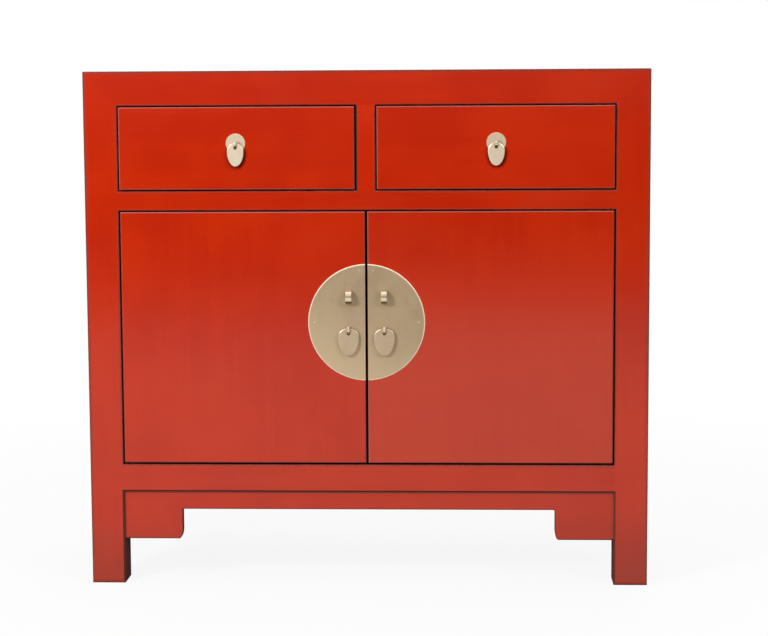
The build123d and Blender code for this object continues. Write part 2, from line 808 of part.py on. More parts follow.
with BuildPart() as drawer_backplate:
    with BuildSketch(front_plane):
        with Locations((drawer_pull_x, drawer_eye_height + backplate_rise)):
            Circle(backplate_radius)
    extrude(amount=backplate_thickness)
    chamfer(drawer_backplate.faces().sort_by(Axis.Y)[0].edges(), backplate_bevel)
    cut_shank_hole(drawer_pull_x, drawer_eye_height)
save_pair(drawer_backplate.part, "drawer_backplate")

drawer_cotter = cotter(
    drawer_pull_x, drawer_eye_y, drawer_eye_height, drawer_eye_radius, drawer_front_back_y
)
save_pair(drawer_cotter.part, "drawer_cotter")
drawer_tag = pull_tag(
    drawer_pull_x, drawer_eye_y, drawer_eye_height, drawer_eye_radius,
    drawer_tag_width, drawer_tag_length, drawer_tag_shoulder, drawer_tag_bar, drawer_tag_hole_radius,
)
save_pair(drawer_tag.part, "drawer_tag")


# ---------------------------------------------------------------- doors on wooden pivots
def staple_strap(extra):
    """The bent strap of a lock staple, or the slots for it when extra is its play."""
    arm = (staple_outer_height - staple_thickness) / 2
    turn_y = plate_front_y - staple_reach + staple_thickness / 2 + arm
    root_y = front_y + staple_drive
    with BuildPart() as strap:
        with BuildSketch(Plane.YZ.offset(staple_x - staple_width / 2 - extra)):
            with BuildLine():
                Line((root_y + extra, staple_height + arm), (turn_y, staple_height + arm))
                ThreePointArc(
                    (turn_y, staple_height + arm),
                    (turn_y - arm, staple_height),
                    (turn_y, staple_height - arm),
                )
                Line((turn_y, staple_height - arm), (root_y + extra, staple_height - arm))
            trace(line_width=staple_thickness + 2 * extra)
        extrude(amount=staple_width + 2 * extra)
    return strap


def face_plate_nails(radius, head_radius):
    """Small round-headed nails near the plate's rim, or the holes for their shanks."""
    with BuildPart() as nails:
        for angle in (0, nail_end_angle):
            nail_spot = Vector(nail_circle_radius, 0).rotate(Axis.Z, angle)
            head_plane = Plane.XZ.offset(-plate_front_y)
            with BuildSketch(head_plane):
                with Locations((nail_spot.X, plate_centre_height + nail_spot.Y)):
                    Circle(radius)
            extrude(amount=-nail_shank_length)
            if head_radius > radius:
                with BuildSketch(head_plane):
                    with Locations((nail_spot.X, plate_centre_height + nail_spot.Y)):
                        Circle(head_radius)
                extrude(amount=nail_head_height, taper=nail_head_slope)
    return nails


batten_x = (door_inner_x + door_batten_inset, door_outer_x)
door_batten_heights = (door_low + door_batten_margin, door_top - door_batten_margin)


def batten_tongues(grow, mode=Mode.ADD):
    """The sliding dovetails of the two door battens, open at the hinge edge of the door."""
    with BuildSketch(Plane.YZ.offset(batten_x[0] - grow)) as tongues:
        for middle in door_batten_heights:
            neck = slide_tongue_width / 2 + grow
            tail = neck + slide_tongue_flare
            deep_y = door_back_y - slide_tongue_depth - grow
            Polygon(
                (door_back_y, middle - neck), (deep_y, middle - tail),
                (deep_y, middle + tail), (door_back_y, middle + neck), align=None
            )
    extrude(tongues.sketch, amount=batten_x[1] - batten_x[0] + grow, mode=mode)


strap_slots = staple_strap(joint_play)
nail_holes = face_plate_nails(nail_shank_radius + joint_play / 2, 0)

with BuildPart() as door_panel:
    with BuildSketch(front_plane):
        with Locations(((door_inner_x + door_outer_x) / 2, (door_low + door_top) / 2)):
            Rectangle(door_outer_x - door_inner_x, door_top - door_low)
    extrude(amount=-door_thickness)
    front_edges = door_panel.faces().sort_by(Axis.Y)[0].edges()
    fillet(front_edges.sort_by(Axis.X)[-1], hinge_edge_radius)
    front_edges = door_panel.faces().sort_by(Axis.Y)[0].edges()
    fillet(front_edges.sort_by(Axis.X)[:-1], edge_radius)
    batten_tongues(joint_play, Mode.SUBTRACT)
    for pin_z in (door_low, door_top):
        with Locations((pivot_x, pivot_y, pin_z)):
            Hole(pivot_radius + pivot_play / 2, pivot_seat + running_gap)
    cut_shank_hole(door_pull_x, door_eye_height)
    add(strap_slots.part, mode=Mode.SUBTRACT)
    add(nail_holes.part, mode=Mode.SUBTRACT)
save_pair(door_panel.part, "door_panel")

with BuildPart() as door_battens:
    batten_tongues(0)
    for middle in door_batten_heights:
        with BuildSketch(Plane.YZ.offset(batten_x[0] + mouth_bevel)):
            with Locations((door_back_y + door_batten_thickness / 2, middle)):
                Rectangle(door_batten_thickness, door_batten_height)
        extrude(amount=batten_x[1] - batten_x[0] - pivot_inset - pivot_radius)
    chamfer(door_battens.faces().group_by(Axis.Y)[-1].edges(), door_batten_bevel)
save_pair(door_battens.part, "door_battens")

with BuildPart() as door_pivots:
    pin_ends = ((door_top, door_top_gap, 1), (door_low, door_bottom_gap, -1))
    for pin_z, gap, direction in pin_ends:
        with BuildSketch(Plane.XY.offset(pin_z - direction * pivot_seat)):
            with Locations((pivot_x, pivot_y)):
                Circle(pivot_radius)
        extrude(amount=direction * (pivot_seat + gap + pivot_reach))
    chamfer(door_pivots.edges().filter_by(GeomType.CIRCLE), mouth_bevel)
save_pair(door_pivots.part, "door_pivots")

with BuildPart() as face_plate:
    with BuildSketch(front_plane):
        with Locations((0, plate_centre_height)):
            Circle(plate_radius)
            with Locations((plate_radius + door_inner_x + plate_edge_inset, 0)):
                Rectangle(2 * plate_radius, 2 * plate_radius, mode=Mode.INTERSECT)
    extrude(amount=plate_thickness)
    rim = face_plate.faces().sort_by(Axis.Y)[0].edges().filter_by(GeomType.CIRCLE)
    chamfer(rim, plate_rim)
    cut_shank_hole(door_pull_x, door_eye_height)
    add(strap_slots.part, mode=Mode.SUBTRACT)
    add(nail_holes.part, mode=Mode.SUBTRACT)
save_pair(face_plate.part, "face_plate")

save_pair(face_plate_nails(nail_shank_radius, nail_head_radius).part, "plate_nails")

# The strap's round nose carries a shallow crease, filed across it above its middle.
with BuildPart() as lock_staple:
    add(staple_strap(0).part)
    with BuildSketch(Plane.YZ.offset(staple_x - staple_width / 2)):
        with Locations((plate_front_y - staple_reach + staple_outer_height / 2, staple_height)):
            with PolarLocations(staple_outer_height / 2, 1, start_angle=180 - crease_angle):
                Polygon(
                    (-crease_depth, 0), (0, -crease_width / 2),
                    (crease_depth, 0), (0, crease_width / 2), align=None
                )
    extrude(amount=staple_width, mode=Mode.SUBTRACT)
save_pair(lock_staple.part, "lock_staple")

door_cotter = cotter(door_pull_x, door_eye_y, door_eye_height, door_eye_radius, door_back_y)
save_pair(door_cotter.part, "door_cotter")
door_tag = pull_tag(
    door_pull_x, door_eye_y, door_eye_height, door_eye_radius,
    door_tag_width, door_tag_length, door_tag_shoulder, door_tag_bar, door_tag_hole_radius,
)
save_pair(door_tag.part, "door_tag")
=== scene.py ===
from collections import namedtuple
from math import cos, sin

import bpy
from mathutils import Matrix, Vector


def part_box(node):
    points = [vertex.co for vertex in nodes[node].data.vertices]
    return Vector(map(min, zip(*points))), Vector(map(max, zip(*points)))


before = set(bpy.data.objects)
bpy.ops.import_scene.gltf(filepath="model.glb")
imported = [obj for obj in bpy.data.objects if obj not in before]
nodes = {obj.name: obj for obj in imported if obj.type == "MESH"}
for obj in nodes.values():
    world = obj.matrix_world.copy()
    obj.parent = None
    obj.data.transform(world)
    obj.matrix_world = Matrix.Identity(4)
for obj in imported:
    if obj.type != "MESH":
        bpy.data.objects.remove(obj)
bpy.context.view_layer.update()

# A red lacquered wedding cabinet on a plain pale floor. Everything is in metres, in the CAD
# frame: X to the right, the front faces -Y, Z up, the origin on the floor. The CAD pieces are
# only painted here. Colours are linear.

# ------------------------------------------------------------------ places read from the frame
millimetre = 0.001
drawer_gap = 2 * millimetre
divider_tenon = 12 * millimetre
apron_bevel = 2.4 * millimetre
below_floor = -1.0
far_away = 1.0

waist_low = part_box("waist_rail")[0]
sill_low, sill_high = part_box("bottom_front_rail")
divider_low, divider_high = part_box("drawer_divider")
plate_low, plate_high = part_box("right_face_plate")
tag_low, tag_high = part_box("right_drawer_tag")
staple_low, staple_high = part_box("right_lock_staple")
apron_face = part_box("front_apron")[0].y

front_y = waist_low.y
rear_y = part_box("right_rear_leg")[1].y
side_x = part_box("right_front_leg")[1].x
cabinet_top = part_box("top_front_rail")[1].z
inner_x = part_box("right_drawer_front")[1].x + drawer_gap
divider_half = divider_high.x
plate_radius = plate_high.x
plate_middle_z = (plate_low.z + plate_high.z) / 2
pull_x = (tag_low.x + tag_high.x) / 2

# The openings in the front, and whether what fills them leaves narrow gaps. The drawers' one
# is mirrored to the left, and the one round the apron is open at the bottom.
Mouth = namedtuple("Mouth", "left right low high gapped")
drawer_low = divider_low.z + divider_tenon
drawer_high = divider_high.z - divider_tenon
drawer_mouth = Mouth(divider_half, inner_x, drawer_low, drawer_high, True)
door_mouth = Mouth(-inner_x, inner_x, sill_high.z, waist_low.z, True)
apron_mouth = Mouth(-inner_x, inner_x, below_floor, sill_low.z, False)

# ------------------------------------------------------------------ node graphs
# A noise's scale is per metre on each axis, and its shift sets it apart from others in its
# material. A grain is a noise that is drawn out along one axis.
Noise = namedtuple("Noise", "scale detail roughness shift")
Grain = namedtuple("Grain", "across lengthwise detail roughness shift")
noise_middle = 0.5
refractive_index = 1.5


class Graph:
    """Adds nodes to one tree and links them, so that a material reads as a few formulas."""

    def __init__(self, tree):
        self.tree = tree
        tree.nodes.clear()

    def feed(self, socket, value):
        """Links an output to a socket, or sets its value. A colour is given without its alpha."""
        if isinstance(value, bpy.types.NodeSocket):
            self.tree.links.new(value, socket)
        elif socket.type == "RGBA":
            socket.default_value = (*value, 1.0)
        else:
            socket.default_value = value

    def node(self, kind, inputs=(), **settings):
        made = self.tree.nodes.new(kind)
        for key, value in settings.items():
            setattr(made, key, value)
        for key, value in dict(inputs).items():
            self.feed(made.inputs[key], value)
        return made

    def surface(self, shader, output="ShaderNodeOutputMaterial"):
        """Wires a shader to the tree's output."""
        self.node(output, {"Surface": shader.outputs[0]})

    def math(self, operation, *values):
        return self.node("ShaderNodeMath", enumerate(values), operation=operation).outputs[0]

    def chain(self, operation, values):
        result = values[0]
        for value in values[1:]:
            result = self.math(operation, result, value)
        return result

    def add(self, *values):
        return self.chain("ADD", values)

    def times(self, *values):
        return self.chain("MULTIPLY", values)

    def least(self, *values):
        return self.chain("MINIMUM", values)

    def most(self, *values):
        return self.chain("MAXIMUM", values)

    def minus(self, first, second):
        return self.math("SUBTRACT", first, second)

    def over(self, first, second):
        return self.math("DIVIDE", first, second)

    def absolute(self, value):
        return self.math("ABSOLUTE", value)

    def hypotenuse(self, first, second):
        squares = self.add(self.math("POWER", first, 2.0), self.math("POWER", second, 2.0))
        return self.math("SQRT", squares)

    def fade(self, value, start, end):
        """0 below start and 1 above end, or the other way round when end is the lower one."""
        low, high = sorted((start, end))
        at_low, at_high = (0.0, 1.0) if start < end else (1.0, 0.0)
        limits = {"Value": value, "From Min": low, "From Max": high, "To Min": at_low, "To Max": at_high}
        return self.node("ShaderNodeMapRange", limits, interpolation_type="SMOOTHSTEP").outputs["Result"]

    def mix(self, factor, first, second):
        """Between two colours, which are the Mix node's sockets 6 and 7."""
        return self.node("ShaderNodeMix", {0: factor, 6: first, 7: second}, data_type="RGBA").outputs[2]

    def blend(self, factor, first, second):
        """Between two plain numbers, which are the Mix node's sockets 2 and 3."""
        return self.node("ShaderNodeMix", {0: factor, 2: first, 3: second}).outputs[0]

    def spot(self):
        """The point at rest, as a vector and as x, y and z."""
        place = self.node("ShaderNodeTexCoord").outputs["Object"]
        parts = self.node("ShaderNodeSeparateXYZ", {"Vector": place})
        return (place, *parts.outputs[:3])

    def noise(self, place, kind, offset):
        """One kind of noise, moved by the offset of its material."""
        moved = {"Vector": place, "Scale": kind.scale, "Location": (offset + kind.shift,) * 3}
        mapped = self.node("ShaderNodeMapping", moved).outputs[0]
        settings = {"Vector": mapped, "Scale": 1.0, "Detail": kind.detail, "Roughness": kind.roughness}
        return self.node("ShaderNodeTexNoise", settings).outputs["Fac"]

    def grain(self, place, kind, along, offset):
        """One kind of grain, drawn out along an axis."""
        scale = tuple(kind.lengthwise if axis == along else kind.across for axis in "xyz")
        return self.noise(place, Noise(scale, kind.detail, kind.roughness, kind.shift), offset)


def new_material(name):
    material = bpy.data.materials.new(name)
    material.use_nodes = True
    return material, Graph(material.node_tree)


def relief_surface(graph, base, roughness, height, relief, metallic=0.0):
    """One Principled surface with a fine relief."""
    raised = graph.node("ShaderNodeBump", {"Height": height, "Distance": relief, "Strength": 1.0})
    look = {
        "Base Color": base,
        "Roughness": roughness,
        "Metallic": metallic,
        "IOR": refractive_index,
        "Normal": raised.outputs[0],
    }
    graph.surface(graph.node("ShaderNodeBsdfPrincipled", look))


def tinted(colour, tint):
    return tuple(tint * part for part in colour)


# ------------------------------------------------------------------ red lacquer: its sizes
deep_red = (0.565, 0.0185, 0.0007)
bright_red = (0.640, 0.0260, 0.0011)
thread_red = (0.42, 0.012, 0.002)
hazy_red = (0.600, 0.0480, 0.0200)
rubbed_red = (0.37, 0.034, 0.016)
bare_edge = (0.050, 0.012, 0.009)
eased_red = (0.30, 0.048, 0.034)
# The next red is a painted highlight on the left and top arrises of the fronts
highlight_red = (0.62, 0.140, 0.105)
# The next two reds are painted shade on the bevel and the sides round the apron's mouth
shaded_arris = (0.160, 0.026, 0.014)
shaded_side = (0.110, 0.012, 0.005)
# Painted shade inside the narrow gaps
shaded_gap = (0.025, 0.006, 0.004)
darker_low_red = (0.26, 0.020, 0.010)
# A painted shadow round the drawer pulls
tag_shadow_red = (0.14, 0.008, 0.004)

cloud_noise = Noise((6.0, 6.0, 6.0), 3.0, 0.55, 0.0)
patch_noise = Noise((5.0, 5.0, 9.0), 2.0, 0.5, 8.0)
speck_noise = Noise((420.0, 420.0, 420.0), 2.0, 0.6, 0.0)
ragged_noise = Noise((130.0, 130.0, 130.0), 3.0, 0.6, 0.0)
uneven_noise = Noise((11.0, 11.0, 11.0), 2.0, 0.5, 5.0)
broad_grain = Grain(60.0, 3.0, 3.0, 0.6, 0.0)
thread_grain = Grain(240.0, 7.0, 2.0, 0.6, 3.0)

# Where each pattern fades in, and how much of it shows. Haze and the darker red near the floor go by
# height.
cloud_share = 0.75
mottle_fade = (0.36, 0.64)
patch_fade = (0.50, 0.68)
thread_fade = (0.62, 0.78)
thread_share = 0.12
haze_fade = (0.58, 0.36)
darker_low_fade = (0.13, 0.0)
darker_low_share = 0.45
broad_relief_share = 0.6
lacquer_relief = 0.01 * millimetre

# How light a red is, and how hazy its cloudy patches and its lower half are
Shade = namedtuple("Shade", "tone bloom haze")
frame_shade = Shade(1.0, 0.15, 0.0)
divider_shade = Shade(1.12, 0.15, 0.0)
drawer_shade = Shade(1.0, 0.05, 0.0)
panel_shade = Shade(1.0, 0.12, 0.0)
hazy_shade = Shade(1.0, 0.12, 0.55)

# What shows at the very edge, how wide it is, and how wide the band rubbed thin beside it is
Wear = namedtuple("Wear", "colour width rub")
frame_wear = Wear(bare_edge, 1.3 * millimetre, 4.0 * millimetre)
panel_wear = Wear(eased_red, 2.2 * millimetre, 3.0 * millimetre)

# Distances to the outer arrises count for less, so they are worn wider. The rubbed band has at
# least this share of its width, and bare edges and painted highlights show fully over theirs.
outer_wear = 0.6
least_band = 0.5
band_fade = (1.0, 0.4)
ragged_width = 2.0 * millimetre
rubbed_share = 0.7
fully_bare = 0.3
bare_share = 0.8
fully_highlit = 0.5

# Gaps get painted shade from behind the eased edge to about as deep as one sees into them
line_softness = 0.3 * millimetre
gap_starts = (1.0 * millimetre, 1.8 * millimetre)
gap_ends = (16.0 * millimetre, 10.0 * millimetre)
gap_share = 0.9

# The roughness, and what specks, wear, use of the top, gaps and painted shade add to it
lacquer_roughness = 0.145
speck_roughness = 0.02
rubbed_roughness = 0.10
top_roughness = 0.30
top_fade = (0.8, 0.95)
gap_roughness = 0.55
painted_shade_roughness = 0.65

# Where the painted shade on the apron and the divider and the painted shadow round the pulls lie
apron_shade_depth = 0.8 * millimetre
divider_shade_span = (2.6 * millimetre, 1.8 * millimetre)
tag_shadow_aside = 0.8 * millimetre
tag_shadow_below = 1.5 * millimetre
tag_shadow_fade = (1.35, 0.95)
tag_shadow_share = 0.75


# ------------------------------------------------------------------ red lacquer: its edges
def inside_gap(graph, off_edge, depth):
    """The faces inside a narrow gap, which get painted shade, by how far they are from its line and from
    the front.
    """
    on_edge = graph.fade(off_edge, 2 * line_softness, line_softness)
    return graph.times(on_edge, graph.fade(depth, *gap_starts), graph.fade(depth, *gap_ends))


def frame_edges(graph, x, y, z):
    """How far a point of the frame is from the cabinet's outer arrises and its front mouths.

    Like every such function, it also gives how far the point is from an edge with a painted
    highlight, and a mask of the faces inside the narrow gaps round the drawers and the doors,
    which get painted shade.
    """
    far_x = graph.absolute(x)
    from_side = graph.absolute(graph.minus(side_x, far_x))
    from_front = graph.minus(y, front_y)
    from_face = graph.absolute(graph.least(from_front, graph.minus(rear_y, y)))
    from_end = graph.least(graph.minus(cabinet_top, z), z)
    upright = graph.least(from_side, from_face)
    level = graph.least(graph.most(from_side, from_face), from_end)
    nearest = graph.times(graph.most(upright, level), outer_wear)
    gap = 0.0
    for mouth in (drawer_mouth, door_mouth, apron_mouth):
        outside_x = graph.minus(far_x, mouth.right)
        if mouth.left > 0:
            outside_x = graph.most(outside_x, graph.minus(mouth.left, far_x))
        outside_z = graph.most(graph.minus(z, mouth.high), graph.minus(mouth.low, z))
        off_line = graph.absolute(graph.most(outside_x, outside_z))
        nearest = graph.least(nearest, graph.most(off_line, from_front))
        if mouth.gapped:
            gap = graph.most(gap, inside_gap(graph, off_line, from_front))
    return nearest, far_away, gap


def side_edges(node):
    """The same for a panel or an apron in the cabinet's side."""
    low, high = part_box(node)
    face_x = high.x if high.x > 0 else low.x

    def edges(graph, x, y, z):
        from_face = graph.absolute(graph.minus(x, face_x))
        from_y = graph.least(graph.minus(high.y, y), graph.minus(y, low.y))
        from_z = graph.least(graph.minus(high.z, z), graph.minus(z, low.z))
        return graph.most(graph.least(from_y, from_z), from_face), far_away, 0.0

    return edges


def front_edges(node):
    """The same for a drawer front, a door or the front apron. Its left and top edges get a painted
    highlight.
    """
    low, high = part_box(node)

    def edges(graph, x, y, z):
        from_face = graph.minus(y, low.y)
        from_top = graph.minus(high.z, z)
        from_left = graph.minus(x, low.x)
        from_x = graph.least(from_left, graph.minus(high.x, x))
        from_z = graph.least(from_top, graph.minus(z, low.z))
        from_edge = graph.least(from_x, from_z)
        from_highlight = graph.most(graph.least(from_left, from_top), from_face)
        gap = 0.0 if node == "front_apron" else inside_gap(graph, from_edge, from_face)
        return graph.most(from_edge, from_face), from_highlight, gap

    return edges


# ------------------------------------------------------------------ red lacquer: its painted shade
# Where painted shade lies, its colour in front and behind, and how much rougher it is
PaintedShade = namedtuple("PaintedShade", "mask front behind roughness")


def mouth_painted_shade(graph, x, y, z):
    """Painted shade on the bevel and the inner sides of the space round the apron."""
    past_side = graph.minus(graph.absolute(x), inner_x)
    past_top = graph.minus(z, apron_mouth.high)
    outside = graph.most(past_side, past_top)
    return graph.fade(outside, apron_bevel + line_softness, apron_bevel - line_softness)


def apron_painted_shade(graph, x, y, z):
    """Painted shade on the edges and the back of the front apron, from a little behind its face."""
    edge_y = apron_face + apron_shade_depth
    return graph.fade(y, edge_y - line_softness, edge_y + line_softness)


def divider_painted_shade(graph, x, y, z):
    """Painted shade on the left arris of the divider, beside the gap of the left drawer."""
    start, end = divider_shade_span
    return graph.fade(x, start - divider_half, end - divider_half)


def tag_painted_shadow(tag):
    """A painted shadow on a drawer front round the tag of its pull, a little to its right and below it."""
    low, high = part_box(tag)
    middle_x = (low.x + high.x) / 2 + tag_shadow_aside
    middle_z = (low.z + high.z) / 2 - tag_shadow_below

    def mask(graph, x, y, z):
        aside = graph.over(graph.minus(x, middle_x), (high.x - low.x) / 2)
        above = graph.over(graph.minus(z, middle_z), (high.z - low.z) / 2)
        return graph.times(graph.fade(graph.hypotenuse(aside, above), *tag_shadow_fade), tag_shadow_share)

    return mask


# ------------------------------------------------------------------ red lacquer
def clouded_red(graph, place, z, broad, fine, offset, shade):
    """The red: cloudy, with thin darker threads along the grain, and darker towards the floor."""
    cloud = graph.noise(place, cloud_noise, offset)
    patches = graph.noise(place, patch_noise, offset)
    mottle = graph.add(graph.times(cloud, cloud_share), graph.times(broad, 1.0 - cloud_share))
    reds = (tinted(red, shade.tone) for red in (deep_red, bright_red))
    base = graph.mix(graph.fade(mottle, *mottle_fade), *reds)
    hazy = graph.times(graph.fade(patches, *patch_fade), shade.bloom)
    if shade.haze > 0:
        hazy = graph.most(hazy, graph.times(graph.fade(z, *haze_fade), shade.haze))
    base = graph.mix(hazy, base, hazy_red)
    base = graph.mix(graph.times(graph.fade(fine, *thread_fade), thread_share), base, thread_red)
    return graph.mix(graph.times(graph.fade(z, *darker_low_fade), darker_low_share), base, darker_low_red)


def worn(graph, place, base, distance, from_highlight, wear, offset):
    """The colour rubbed thin beside the edges and off at the very arris, with a painted highlight on the
    left and top arrises of fronts, and how rubbed it is.
    """
    ragged = graph.noise(place, ragged_noise, offset)
    uneven = graph.noise(place, uneven_noise, offset)
    band = graph.times(graph.add(least_band, uneven), wear.rub)
    worn_at = graph.add(distance, graph.times(graph.minus(ragged, noise_middle), ragged_width))
    rubbed = graph.fade(graph.over(worn_at, band), *band_fade)
    base = graph.mix(graph.times(rubbed, rubbed_share), base, rubbed_red)
    bare = graph.fade(worn_at, wear.width, fully_bare * wear.width)
    highlit = graph.fade(from_highlight, wear.width, fully_highlit * wear.width)
    arris = graph.mix(highlit, wear.colour, highlight_red)
    return graph.mix(graph.times(bare, bare_share), base, arris), rubbed


def red_lacquer(name, along, edges, offset, wear, shade, shade_mark):
    """Glossy red lacquer: a little cloudy, the grain just prints through and the edges are rubbed. Painted
    shade lies in gaps and recesses, a painted shadow round the pulls and a painted highlight along the
    left and top edges of the fronts.
    """
    material, graph = new_material(name)
    place, x, y, z = graph.spot()
    broad = graph.grain(place, broad_grain, along, offset)
    fine = graph.grain(place, thread_grain, along, offset)
    speck = graph.noise(place, speck_noise, offset)
    distance, from_highlight, gap = edges(graph, x, y, z)
    base = clouded_red(graph, place, z, broad, fine, offset, shade)
    base, rubbed = worn(graph, place, base, distance, from_highlight, wear, offset)
    # Painted shade inside the narrow gaps round the drawers and the doors
    base = graph.mix(graph.times(gap, gap_share), base, shaded_gap)

    facing = graph.node("ShaderNodeTexCoord").outputs["Normal"]
    upward = graph.node("ShaderNodeSeparateXYZ", {"Vector": facing}).outputs["Z"]
    roughness = graph.add(
        lacquer_roughness,
        graph.times(speck, speck_roughness),
        graph.times(rubbed, rubbed_roughness),
        graph.times(graph.fade(upward, *top_fade), top_roughness),
        graph.times(gap, gap_roughness),
    )
    # Painted shade and painted shadow, in another colour further behind the front
    if shade_mark is not None:
        marked_shade = shade_mark.mask(graph, x, y, z)
        deeper = graph.fade(y, front_y + apron_bevel, front_y + 2 * apron_bevel)
        base = graph.mix(marked_shade, base, graph.mix(deeper, shade_mark.front, shade_mark.behind))
        roughness = graph.add(roughness, graph.times(marked_shade, shade_mark.roughness))
    height = graph.add(graph.times(broad, broad_relief_share), graph.times(fine, 1.0 - broad_relief_share))
    relief_surface(graph, base, roughness, height, lacquer_relief)
    return material


# ------------------------------------------------------------------ oiled wood inside
pale_wood = (0.46, 0.29, 0.15)
deep_wood = (0.30, 0.165, 0.075)
pore_roughness = 0.15
wood_relief = 0.2 * millimetre

line_grain = Grain(96.0, 2.8, 3.0, 0.65, 4.0)
band_grain = Grain(15.0, 0.75, 2.0, 0.5, 0.0)
pore_grain = Grain(240.0, 7.0, 3.0, 0.6, 0.0)

# Where each of them fades in, and how dark it is
line_fade = (0.42, 0.66)
line_share = 0.7
band_grain_fade = (0.40, 0.65)
band_grain_share = 0.3
pore_fade = (0.55, 0.75)
pore_share = 0.35

Wood = namedtuple("Wood", "tint roughness")
plain_wood = Wood(1.0, 0.5)
shaded_wood = Wood(0.03, 0.85)


def oiled_wood(name, along, offset, wood):
    """Plain oiled softwood with growth lines along the board."""
    material, graph = new_material(name)
    place = graph.spot()[0]
    bands = graph.grain(place, band_grain, along, offset)
    lines = graph.grain(place, line_grain, along, offset)
    pores = graph.grain(place, pore_grain, along, offset)
    base = tinted(pale_wood, wood.tint)
    dark = tinted(deep_wood, wood.tint)
    base = graph.mix(graph.times(graph.fade(lines, *line_fade), line_share), base, dark)
    base = graph.mix(graph.times(graph.fade(bands, *band_grain_fade), band_grain_share), base, dark)
    base = graph.mix(graph.times(graph.fade(pores, *pore_fade), pore_share), base, dark)
    roughness = graph.add(wood.roughness, graph.times(pores, pore_roughness))
    relief_surface(graph, base, roughness, pores, wood_relief)
    return material


# ------------------------------------------------------------------ brass
# A painted highlight on the face plate's rim
highlight_brass = (1.0, 0.90, 0.70)
# Painted light on the face plate's lower left
lit_brass = (0.70, 0.525, 0.335)
# Painted shade and painted shadow on the fittings
brass_in_shade = (0.030, 0.017, 0.006)

brush_lines = Noise((1500.0, 1500.0, 26.0), 2.0, 0.6, 0.0)
cast_skin = Noise((200.0, 200.0, 200.0), 2.0, 0.6, 0.0)
dull_patches = Noise((26.0, 26.0, 18.0), 4.0, 0.6, 0.0)
dull_fade = (0.35, 0.7)
dull_roughness = 0.12
fine_fade = (0.45, 0.75)
fine_share = 0.2
brass_relief = 0.02 * millimetre

rim_start = 1.9 * millimetre
rim_end = 1.2 * millimetre
light_by_x = 0.5
light_by_z = 0.8
light_start = 0.3

# Painted shade in the eyes and painted shadow on the backplates go by the depth below a tag's top
eye_drop = 7.0 * millimetre
eye_fade = (3.2 * millimetre, 2.4 * millimetre)
backplate_drop = 3.0 * millimetre
backplate_aside = 4.5 * millimetre
backplate_fade = (7.5 * millimetre, 3.0 * millimetre)
backplate_share = 0.5

# And the painted shade on the staples by how far above the bottom or the middle of their loop
beneath_start = 5.2 * millimetre
beneath_end = 3.2 * millimetre
dark_band_rise = 1.0 * millimetre
dark_band_fade = (1.3 * millimetre, 0.5 * millimetre)
dark_band_share = 0.7
staple_share = 0.8


def rim_highlight(graph, x, y, z):
    """A painted highlight along the bevel round the face plate."""
    from_middle = graph.hypotenuse(x, graph.minus(z, plate_middle_z))
    return graph.fade(from_middle, plate_radius - rim_start, plate_radius - rim_end)


def plate_painted_light(graph, x, y, z):
    """The face plate is painted lighter towards its lower left: painted light from the left and a painted
    reflection of the floor below.
    """
    above = graph.minus(z, plate_middle_z)
    along = graph.add(graph.times(above, light_by_z), graph.times(x, light_by_x))
    return graph.fade(along, light_start * plate_radius, -plate_radius)


def eye_shade(graph, x, y, z):
    """Painted shade in and round the hole of a drawer pull's tag, and on what the cotter shows in it."""
    aside = graph.minus(graph.absolute(x), pull_x)
    above = graph.minus(z, tag_high.z - eye_drop)
    return graph.fade(graph.hypotenuse(aside, above), *eye_fade)


def backplate_shadow(graph, x, y, z):
    """A painted shadow of the eye on a backplate, to the right of the eye."""
    own_middle = graph.times(graph.math("SIGN", x), pull_x)
    aside = graph.minus(graph.minus(x, own_middle), backplate_aside)
    above = graph.minus(z, tag_high.z - backplate_drop)
    return graph.times(graph.fade(graph.hypotenuse(aside, above), *backplate_fade), backplate_share)


def staple_shade(graph, x, y, z):
    """Painted shade on the underside of a lock staple's loop, and a painted dark reflection across its
    middle.
    """
    beneath = graph.fade(z, staple_low.z + beneath_start, staple_low.z + beneath_end)
    dark_band_z = (staple_low.z + staple_high.z) / 2 + dark_band_rise
    from_dark_band = graph.absolute(graph.minus(z, dark_band_z))
    dark_band = graph.times(graph.fade(from_dark_band, *dark_band_fade), dark_band_share)
    return graph.times(graph.most(beneath, dark_band), staple_share)


# What is painted over the brass, painted light and shade: where, in which colour and how much rougher
Layer = namedtuple("Layer", "mask colour roughness")
plate_light_layer = Layer(plate_painted_light, lit_brass, 0.0)
rim_highlight_layer = Layer(rim_highlight, highlight_brass, 0.25)
eye_shade_layer = Layer(eye_shade, brass_in_shade, 0.3)
backplate_shadow_layer = Layer(backplate_shadow, brass_in_shade, 0.3)
staple_shade_layer = Layer(staple_shade, brass_in_shade, 0.3)

Metal = namedtuple("Metal", "roughness metallic fine")
plate_metal = Metal(0.36, 0.5, brush_lines)
pull_metal = Metal(0.42, 0.5, brush_lines)
cast_metal = Metal(0.28, 0.8, cast_skin)

